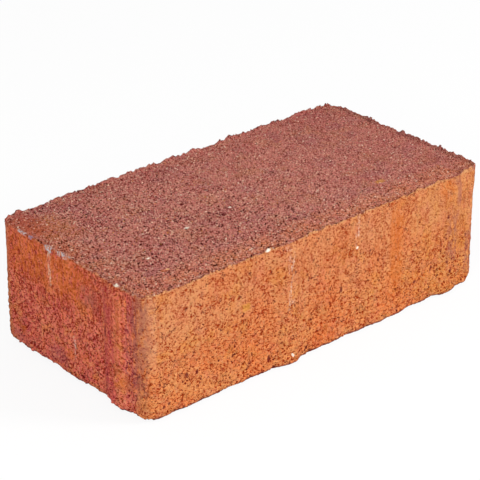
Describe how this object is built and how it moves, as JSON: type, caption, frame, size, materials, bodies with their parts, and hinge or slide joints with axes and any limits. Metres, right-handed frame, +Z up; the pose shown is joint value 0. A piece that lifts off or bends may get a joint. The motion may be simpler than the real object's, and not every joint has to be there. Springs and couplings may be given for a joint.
{
  "type": "concrete paving stone",
  "caption": "Rectangular pressed concrete paving stone with rounded upright corners, low spacer ribs round its sides and a thin wavy lip round its wearing face.",
  "frame": {"origin": "middle of the bed face, the face that rests on the ground", "axes": "+X along the length, +Y across the width, +Z up, from the bed face to the wearing face"},
  "size_m": [0.202, 0.104, 0.06],
  "materials": {
    "red_concrete": "as pressed: red iron-oxide pigment all through, open sandy grain, pits coarser towards the bed"
  },
  "bodies": {
    "root": {"paving_stone": "red_concrete"}
  },
  "joints": []
}
